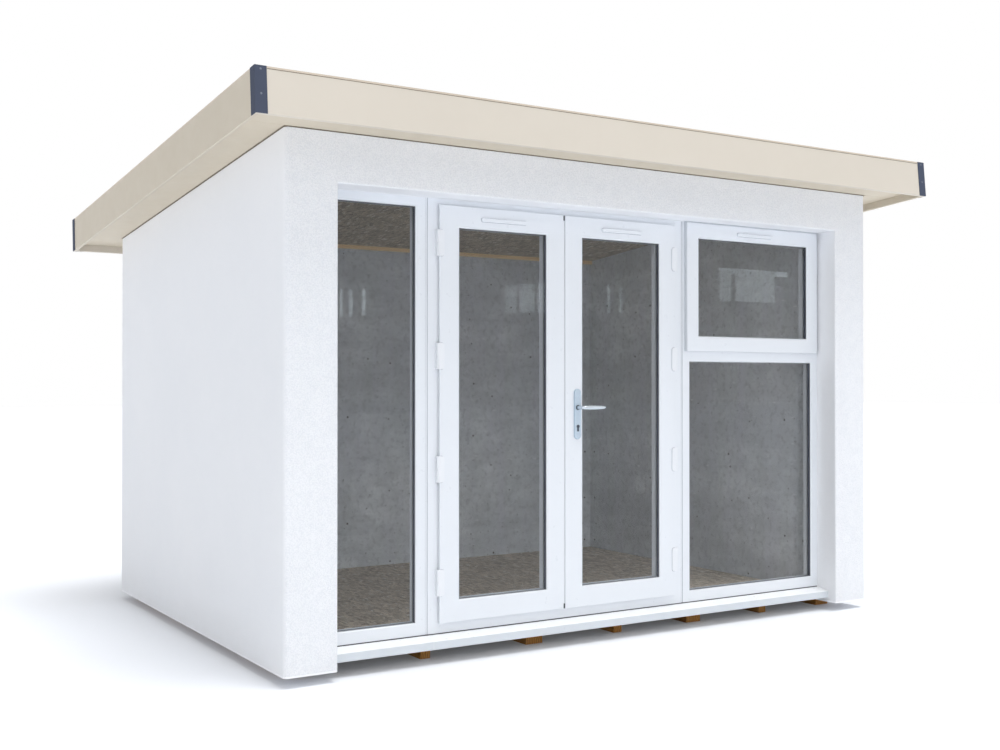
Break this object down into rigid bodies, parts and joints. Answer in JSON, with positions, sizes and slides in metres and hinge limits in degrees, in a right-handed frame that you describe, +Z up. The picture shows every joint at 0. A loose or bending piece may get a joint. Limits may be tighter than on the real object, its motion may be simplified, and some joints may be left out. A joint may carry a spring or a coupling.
{
  "type": "garden office pod",
  "caption": "Insulated garden room with white rendered walls, a single-pitch roof with cream fascias, and a glazed front with a side light, French doors and a window.",
  "frame": {"origin": "on the ground, in the middle of the roof's width and depth", "axes": "+X to the right along the glazed front as seen from outside, +Y from the front to the rear, +Z up"},
  "size_m": [3.917, 3.053, 2.4957],
  "materials": {
    "render": "matt white stippled render",
    "lining_board": "matt grey cement board",
    "treated_timber": "rough-sawn, treated brown",
    "pine": "planed",
    "floor_board": "flake board",
    "floor_core": "insulated floor panel with grey board faces",
    "ceiling_board": "flake board",
    "roof_core": "flake board over insulation",
    "roof_membrane": "matt sheet",
    "edge_trim": "satin",
    "fascia": "satin cream",
    "soffit": "satin cream",
    "corner_cap": "satin slate blue",
    "white_frame": "smooth white",
    "white_hinge": "smooth white",
    "glazing": "clear sealed units",
    "black_rubber": "matt",
    "satin_chrome": "satin",
    "nickel": "satin"
  },
  "bodies": {
    "building": {"bearers": "treated_timber", "floor_panel": "floor_core", "floor_deck": "floor_board", "left_wall": "render", "right_wall": "render", "rear_wall": "render", "front_left_pier": "render", "front_right_pier": "render", "front_lintel": "render", "side_linings": "lining_board", "rear_lining": "lining_board", "rear_batten": "pine", "ceiling_board": "ceiling_board", "roof_panel": "roof_core", "roof_membrane": "roof_membrane", "roof_edge_trim": "edge_trim", "front_fascia": "fascia", "rear_fascia": "fascia", "side_fascias": "fascia", "front_soffit": "soffit", "rear_soffit": "soffit", "side_soffits": "soffit", "corner_caps": "corner_cap", "side_light_frame": "white_frame", "side_light_glass": "glazing", "frame_couplers": "white_frame", "door_frame": "white_frame", "meeting_blocks": "black_rubber", "window_frame": "white_frame", "lower_light_glass": "glazing", "window_sash": "white_frame", "window_glass": "glazing", "window_vent": "white_frame", "sill": "white_frame", "left_frame_hinges": "white_hinge", "right_frame_hinges": "white_hinge"},
    "left_door": {"left_door_leaf": "white_frame", "left_door_glass": "glazing", "left_door_vent": "white_frame", "left_leaf_hinges": "white_hinge"},
    "right_door": {"right_door_leaf": "white_frame", "right_door_glass": "glazing", "right_door_vent": "white_frame", "right_leaf_hinges": "white_hinge", "handle_plates": "satin_chrome", "lock_cylinder": "nickel"},
    "door_lever": {"lever_handle": "satin_chrome"}
  },
  "joints": [
    {"name": "left_door_hinge", "type": "hinge", "parent": "building", "child": "left_door", "pos_m": [-0.952, -1.16262, 1.1], "axis": [0, 0, -1], "range_deg": [0, 90]},
    {"name": "right_door_hinge", "type": "hinge", "parent": "building", "child": "right_door", "pos_m": [0.456, -1.16262, 1.1], "axis": [0, 0, 1], "range_deg": [0, 90]},
    {"name": "lever_turn", "type": "hinge", "parent": "right_door", "child": "door_lever", "pos_m": [-0.176, -1.1256, 1.144], "axis": [0, 1, 0], "range_deg": [-35, 40], "stiffness_Nm_per_rad": 8}
  ]
}
